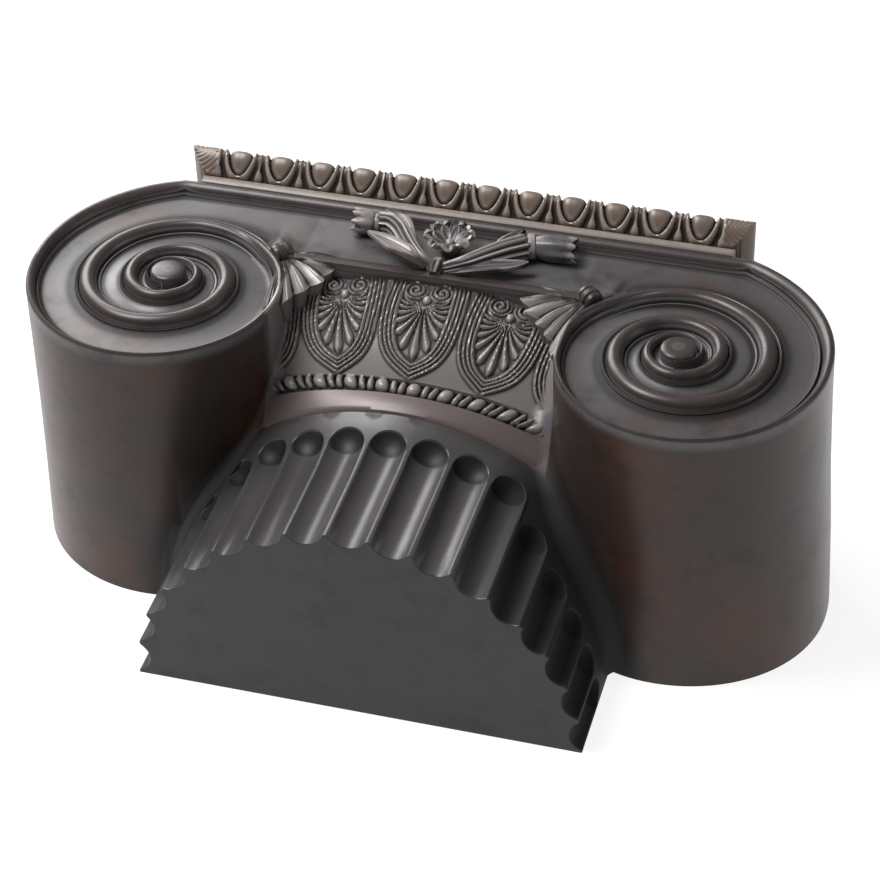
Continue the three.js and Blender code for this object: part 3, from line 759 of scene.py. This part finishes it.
# Where each collar and bell sits, the way it points, and how long and wide it is.
COLLAR_PLACES = {1: ((52, 228.2, 195), (.93, .28, 0), 1), -1: ((-47.5, 230, 195), (-1, -.12, 0), .78)}
BELL_PLACES = {1: ((53, 228.6, 195), (1, .06, .02), 1, 1),
               -1: ((-48.5, 229.5, 195), (-1, -.10, .12), .52, .92)}


BELL_LOBES = 7
BELL_SIDES = 56


def bell_lobes(row, spin):
    """The bell's ribs and its scalloped lip."""
    swell = .10 * np.cos(BELL_LOBES * spin) * smooth(1, 6, row) * smooth(12.5, 10, row)
    return swell, 1.5 * np.cos(BELL_LOBES * spin) * smooth(4, 7, row) * smooth(10.5, 8, row)


def collar(side):
    place, axis, scale = COLLAR_PLACES[side]
    return turned("collar", np.array(COLLAR) * scale, place, axis)


def bell(side):
    place, axis, longer, wider = BELL_PLACES[side]
    return turned("bell", np.array(BELL) * (longer, wider), place, axis, bell_lobes, BELL_SIDES)


collars = branches("collars", collar)
bells = branches("bells", bell)
BUD = [(-7, 0), (-7, 3), (-3, 4.2), (1, 4.4), (5, 3.4), (8, 1.6), (9, 0)]
bud = turned("bud", BUD, (0, 196, 193.0), (0, 1, .12), lambda row, spin: (.12 * np.cos(6 * spin), 0), 36)

# The half palmettes in the corners under the scrolls: pleated bronze fans, cast and chased,
# that spring from a tied band and fill the angle between the scroll, the border and the echinus.
TIE = (97.0, 191.0)
FAN_LEVEL = 189.6
FAN_TUCK = {178: .90, 150: .82}
FAN_SPREAD = 0.22
NOTCH = 0.17
PLEAT_RISE = 2.9
PLEAT_GROOVE = 0.9
DROOP = 3.4
LEFT_TIPS = [(63, 197), (62, 184), (65, 171), (74, 158), (81, 147), (87.5, 128)]
RIGHT_TIPS = [(58, 195), (56, 183), (62, 171), (72, 160), (79, 152), (87.5, 133)]


def fan(tips, side):
    angles = [math.atan2(y - TIE[1], TIE[0] - x) for x, y in tips]
    reaches = [math.hypot(y - TIE[1], TIE[0] - x) for x, y in tips]
    count = len(tips)
    frond = np.linspace(-.5, count - .5, 12 * count + 1)[None, :]
    out = np.linspace(.10, 1, 22)[:, None]
    lean = np.interp(frond, np.arange(count), angles)
    lean = np.where(frond < 0, angles[0] - frond * FAN_SPREAD, lean)
    lean = np.where(frond > count - 1, angles[-1] - (frond - count + 1) * FAN_SPREAD, lean)
    part = np.abs(frond - np.round(frond)) * 2
    length = np.interp(frond, np.arange(count), reaches) * (1 - NOTCH * part ** 1.6)
    reach = length * out
    groove = PLEAT_GROOVE * half_round(part, .16) * smooth(.3, .5, out)
    pleat = PLEAT_RISE * (1 - part) ** .8 * smooth(.05, .45, out) - groove
    droop = DROOP * smooth(.55, 1.1, out) + 1.2 * part * smooth(.8, 1, out)
    z = FAN_LEVEL + pleat - droop
    points = np.stack([(TIE[0] - reach * np.cos(lean)) * side, TIE[1] + reach * np.sin(lean),
                       z + 0 * frond], axis=-1)
    piece = skin("fan", points[:, ::side])
    tie = Vector((side * TIE[0] * MM, CUT_END + TIE[1] * MM))

    def tuck(point, level):
        point.xy = tie + (point.xy - tie) * FAN_TUCK[level]
        return point

    stand(piece, list(FAN_TUCK), tuck)
    return piece


fans = join("fans", [fan(LEFT_TIPS, -1), fan(RIGHT_TIPS, 1)])
TIE_BAND = [(-6.5, 0), (-6.5, 4.5), (-5.5, 6.0), (-3.6, 6.6), (-2.4, 5.6), (-1.6, 7.0), (1.6, 7.0),
            (2.4, 5.6), (3.6, 6.6), (5.5, 6.0), (6.5, 4.5), (6.5, 0)]
ties = join("ties", [turned("tie", TIE_BAND, (side * 98, 190.6, 190.6), (side * .75, -.66, 0))
                     for side in (-1, 1)])

# The capital is one casting: all of the masses above become one skin of bronze. Each
# corner carries a mark for how far it stands out, where hands rub it and grime gathers.
COARSE = 5 * MM
FINEST = .25 * MM
FULL_RELIEF = .7 * MM
SOFTENING_ROUNDS = 14
SMOOTH_ANGLE = math.radians(38)
FLAT_END = .05 * MM


def weather(piece):
    """Marks how far each corner stands out from its surroundings, for rubbing and grime."""
    mesh = piece.data
    points = np.empty(len(mesh.vertices) * 3)
    mesh.vertices.foreach_get("co", points)
    points = points.reshape(-1, 3)
    normals = np.empty(len(mesh.vertices) * 3)
    mesh.vertex_normals.foreach_get("vector", normals)
    normals = normals.reshape(-1, 3)
    ends = np.empty(len(mesh.edges) * 2, dtype=np.int32)
    mesh.edges.foreach_get("vertices", ends)
    ends = ends.reshape(-1, 2)
    length = np.linalg.norm(points[ends[:, 0]] - points[ends[:, 1]], axis=1)
    weight = np.where(length > COARSE, 0, 1 / np.maximum(length, FINEST))
    total = np.bincount(ends.ravel(), np.repeat(weight, 2), len(points))
    longest = np.zeros(len(points))
    np.maximum.at(longest, ends[:, 0], length)
    np.maximum.at(longest, ends[:, 1], length)
    fine = longest < COARSE
    for face in mesh.polygons:
        if len(face.vertices) > 4:
            fine[face.vertices] = False
    soft = points.copy()
    for _ in range(SOFTENING_ROUNDS):
        gathered = np.zeros_like(soft)
        np.add.at(gathered, ends[:, 0], soft[ends[:, 1]] * weight[:, None])
        np.add.at(gathered, ends[:, 1], soft[ends[:, 0]] * weight[:, None])
        soft = np.where(fine[:, None], (soft + gathered / np.maximum(total, 1e-9)[:, None]) / 2, soft)
    stand_out = np.where(fine, np.sum((points - soft) * normals, axis=1), 0)
    mark = mesh.attributes.new("relief", "FLOAT", "POINT")
    mark.data.foreach_set("value", np.clip(stand_out / FULL_RELIEF, -1, 1))


def unite(body, other):
    bpy.ops.object.select_all(action="DESELECT")
    bpy.context.view_layer.objects.active = body
    weld = body.modifiers.new("weld", "BOOLEAN")
    weld.operation = "UNION"
    weld.solver = "MANIFOLD"
    weld.object = other
    bpy.ops.object.modifier_apply(modifier=weld.name)
    bpy.data.objects.remove(other)


casting = block
casting.name = casting.data.name = "capital_casting"
weather(casting)
for other in [eyes, boss, *petals, bud, stalks, low_leaves, high_leaves, collars, bells, shaft, fillets,
              echinus, fans, ties, abacus]:
    if other is not fillets:
        weather(other)
    unite(casting, other)
bpy.ops.object.select_all(action="DESELECT")
casting.select_set(True)
bpy.context.view_layer.objects.active = casting
bpy.ops.object.shade_smooth_by_angle(angle=SMOOTH_ANGLE)
mesh = casting.data
for face in mesh.polygons:
    ends_flat = face.center.y < CUT_END + FLAT_END or face.center.y > -CUT_END - FLAT_END
    if ends_flat or face.center.z < FLAT_END:
        face.use_smooth = False
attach(casting, "root")
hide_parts("capital")

# The bronze: a dark brown-grey patina, paler and cooler on the upward faces (partly a painted reflection of
# the light above), redder on the bolsters, paler and browner on the abacus, partly a painted highlight on
# the neck, and painted shadow in the two valleys.
class Finish:
    """An output of the material's node tree that takes part in sums like a number."""
    tree = None

    def __init__(self, socket):
        self.socket = socket

    @classmethod
    def node(cls, kind, settings=None, sockets=None, output=0):
        made = cls.tree.nodes.new(kind)
        for name, value in (settings or {}).items():
            setattr(made, name, value)
        for name, value in (sockets or {}).items():
            if isinstance(value, Finish):
                cls.tree.links.new(value.socket, made.inputs[name])
            else:
                made.inputs[name].default_value = value
        return cls(made.outputs[output])

    def math(self, operation, other=0.0, clamp=False):
        settings = {"operation": operation, "use_clamp": clamp}
        return Finish.node("ShaderNodeMath", settings, {0: self, 1: other})

    def __add__(self, other):
        return self.math("ADD", other)

    def __mul__(self, other):
        return self.math("MULTIPLY", other)

    def __sub__(self, other):
        return self.math("SUBTRACT", other)

    def __rsub__(self, other):
        return Finish.node("ShaderNodeMath", {"operation": "SUBTRACT"}, {0: other, 1: self})

    __radd__ = __add__
    __rmul__ = __mul__

    def clamp(self):
        return self.math("ADD", 0.0, True)

    def between(self, start, end):
        """0 at start and 1 at end, clamped."""
        return Finish.node("ShaderNodeMapRange", {"interpolation_type": "SMOOTHSTEP"},
                           {"Value": self, "From Min": start, "From Max": end})

    def over(self, colour, amount):
        """This colour with another laid over it."""
        return Finish.node("ShaderNodeMix", {"data_type": "RGBA"}, {0: amount, 6: self, 7: colour}, 2)


bronze = bpy.data.materials.new("bronze_patina")
bronze.use_nodes = True
Finish.tree = bronze.node_tree
shader = bronze.node_tree.nodes["Principled BSDF"]
where = Finish.node("ShaderNodeTexCoord", output=3)
cell = Finish.node("ShaderNodeSeparateXYZ", sockets={"Vector": where})
x, y, z = (Finish(cell.socket.node.outputs[axis]) for axis in range(3))


def mottle(scale, detail, rough):
    return Finish.node("ShaderNodeTexNoise", sockets={"Vector": where, "Scale": scale, "Detail": detail,
                                                      "Roughness": rough})


raised = Finish.node("ShaderNodeAttribute", {"attribute_name": "relief"}, output=2)
cloud = mottle(11, 5, .6)
blotch = mottle(46, 6, .65)
grain = mottle(420, 3, .6)

# Where each colour lies. A pair of limits is in metres: none of it at the first, all at the second.
CUT_FACE = (-.1335, -.1341)
CLEAR_OF_CUT = (-.1341, -.1335)
MIDDLE_HALF = (.0905, .0885)
OUTSIDE_SHAFT = (.1475, .152)
BELOW_CREASE = (-.0275, -.0285)
ABOVE_RIM = (.1155, .119)
UNDER_FACE = (.190, .183)
OVER_SHAFT = (.11, .12)
ECHINUS_LIMITS = ((-.008, -.004), (.050, .046))
NECK_LIMITS = ((-.0295, -.0275), (-.0145, -.0155))
BEAD_LIMITS = ((-.016, -.014), (-.004, -.006))
BRANCH_LIMITS = ((.063, .066), (.100, .098))
VALLEY_RADIUS = (.170, .150)
VALLEY_TOP = (-.022, -.040)
RIGHT_VALLEY = (.058, .090)
LEFT_VALLEY = (-.085, -.110)
LEFT_SHADOW_SHARE = 0.6


def square(limits):
    return [limit ** 2 for limit in limits]


middle = x - SHIFT * MM
from_axis = x * x + z * z
in_middle = (middle * middle).between(*square(MIDDLE_HALF))
off_shaft = from_axis.between(*square(OUTSIDE_SHAFT))
past_cut = y.between(*CLEAR_OF_CUT)
on_shaft = (1 - off_shaft) * y.between(*BELOW_CREASE) * past_cut
on_abacus = y.between(*ABOVE_RIM)
on_bolster = z.between(*UNDER_FACE) * (1 - in_middle) * off_shaft * (1 - on_abacus)
over_shaft = in_middle * z.between(*OVER_SHAFT)
on_echinus = y.between(*ECHINUS_LIMITS[0]) * y.between(*ECHINUS_LIMITS[1]) * over_shaft
on_neck = y.between(*NECK_LIMITS[0]) * y.between(*NECK_LIMITS[1]) * over_shaft
on_beads = in_middle * y.between(*BEAD_LIMITS[0]) * y.between(*BEAD_LIMITS[1])
on_branches = in_middle * y.between(*BRANCH_LIMITS[0]) * y.between(*BRANCH_LIMITS[1])
ornament = (on_abacus + on_echinus + on_beads + on_branches).clamp()
# Painted shadow: the deep valleys between the shaft and the bolsters, where they shade each other, are
# painted near black, the left one more lightly.
in_valley = from_axis.between(*square(VALLEY_RADIUS)) * y.between(*VALLEY_TOP) * past_cut
painted_shadow = in_valley * (x.between(*RIGHT_VALLEY) + x.between(*LEFT_VALLEY) * LEFT_SHADOW_SHARE)

FACE_GREY_AND_SHEEN = (.086, .082, .086, 1)
DARK_BROWN = (.027, .018, .0145, 1)
RED_BROWN = (.058, .023, .014, 1)
CUT_GREY = (.027, .026, .028, 1)
BLACK_SPOT = (.010, .0095, .0095, 1)
ABACUS_BROWN = (.125, .084, .058, 1)
ECHINUS_GREY = (.175, .160, .154, 1)
SHAFT_GREY = (.048, .044, .044, 1)
NECK_PINK_AND_HIGHLIGHT = (.115, .090, .088, 1)
RUBBED = (.30, .265, .24, 1)
GRIME = (.004, .0035, .003, 1)
SHADOW_BLACK = (.0045, .0040, .0040, 1)
# The base grey stays on the upward faces of the scrolls and the channel: paler and cooler than the walls,
# partly as a painted reflection of the light above.
colour = Finish.node("ShaderNodeRGB")
colour.socket.default_value = FACE_GREY_AND_SHEEN
on_ribs = (1 - ornament) * raised.between(.02, .35)
colour = colour.over(DARK_BROWN, (on_ribs * .8 + on_bolster * .92).clamp())
colour = colour.over(RED_BROWN, (cloud.between(.42, .66) * (.12 + .75 * on_bolster)).clamp())
colour = colour.over(CUT_GREY, y.between(*CUT_FACE) * .95)
colour = colour.over(BLACK_SPOT, blotch.between(.48, .72) * .55)
colour = colour.over(ABACUS_BROWN, on_abacus * (.5 + .5 * blotch).clamp())
colour = colour.over(ECHINUS_GREY, on_echinus * (.55 + .4 * blotch))
colour = colour.over(SHAFT_GREY, on_shaft * (.7 + .3 * blotch))
# Pale pink on the neck band: partly its own tone and partly a painted highlight where the band faces the
# light above.
colour = colour.over(NECK_PINK_AND_HIGHLIGHT, on_neck * .8)
colour = colour.over(RUBBED, raised.between(.12, .8) * ornament * (.35 + .5 * grain))
colour = colour.over(GRIME, raised.between(-.06, -.6) * .9)
# Painted shadow, near black and rougher, in the two valleys beside the shaft.
colour = colour.over(SHADOW_BLACK, painted_shadow * .93)
SATIN = .27
rough = SATIN + .14 * blotch + raised.between(-.1, -.6) * .2 + painted_shadow * .35
Finish.tree.links.new(colour.socket, shader.inputs["Base Color"])
Finish.tree.links.new(rough.socket, shader.inputs["Roughness"])
shader.inputs["Metallic"].default_value = .12
shader.inputs["Specular IOR Level"].default_value = .36
pits = Finish.node("ShaderNodeBump", sockets={"Strength": .18, "Distance": .0006,
                                              "Height": blotch * .6 + grain * .4})
Finish.tree.links.new(pits.socket, shader.inputs["Normal"])
mesh.materials.clear()
mesh.materials.append(bronze)

# The studio: a pale floor that glows a little, a broad light from behind on the left, a
# soft one above, a weak one from the right, and the camera in front and above.
FLOOR_SIZE = 14
FLOOR_GREY = (.22, .22, .22, 1)
FLOOR_GLOW = 0.86
SKY_STRENGTH = 0.25
WHITE = (1, 1, 1, 1)
bpy.ops.mesh.primitive_plane_add(size=FLOOR_SIZE)
floor = bpy.context.object
floor.name = "floor"
pale = bpy.data.materials.new("pale_floor")
pale.use_nodes = True
surface = pale.node_tree.nodes["Principled BSDF"]
surface.inputs["Base Color"].default_value = FLOOR_GREY
surface.inputs["Emission Color"].default_value = WHITE
surface.inputs["Emission Strength"].default_value = FLOOR_GLOW
surface.inputs["Roughness"].default_value = .9
floor.data.materials.append(pale)

world = bpy.data.worlds.new("studio")
bpy.context.scene.world = world
world.use_nodes = True
sky = world.node_tree.nodes["Background"]
sky.inputs["Color"].default_value = WHITE
sky.inputs["Strength"].default_value = SKY_STRENGTH


def soft_light(name, place, target, size, watts):
    bpy.ops.object.light_add(type="AREA", location=place)
    lamp = bpy.context.object
    lamp.name = name
    lamp.data.size = size
    lamp.data.energy = watts
    lamp.rotation_euler = (Vector(target) - Vector(place)).to_track_quat("-Z", "Y").to_euler()


soft_light("key", (-1.6, 1.5, 1.35), (0, 0, .15), 1.5, 66)
soft_light("top", (-.85, -.15, 1.75), (0, 0, .1), .9, 46)
soft_light("right", (1.7, .2, .8), (0, 0, .1), .7, 3)

AZIMUTH = math.radians(16.8998)
ELEVATION = math.radians(39.6573)
ROLL = math.radians(-1.8719)
CAMERA_PLACE = (.39354, -1.23748, 1.18094)
LENS = 111.895
SENSOR = 36
back = Vector((math.sin(AZIMUTH) * math.cos(ELEVATION), -math.cos(AZIMUTH) * math.cos(ELEVATION),
               math.sin(ELEVATION)))
right = Vector((math.cos(AZIMUTH), math.sin(AZIMUTH), 0))
up = back.cross(right)
across = right * math.cos(ROLL) + up * math.sin(ROLL)
above = up * math.cos(ROLL) - right * math.sin(ROLL)
bpy.ops.object.camera_add(location=CAMERA_PLACE)
camera = bpy.context.object
turn = Matrix((across, above, back)).transposed().to_4x4()
camera.matrix_world = Matrix.Translation(camera.location) @ turn
camera.data.lens = LENS
camera.data.sensor_width = SENSOR
bpy.context.scene.camera = camera
bpy.context.scene.view_settings.view_transform = "Standard"
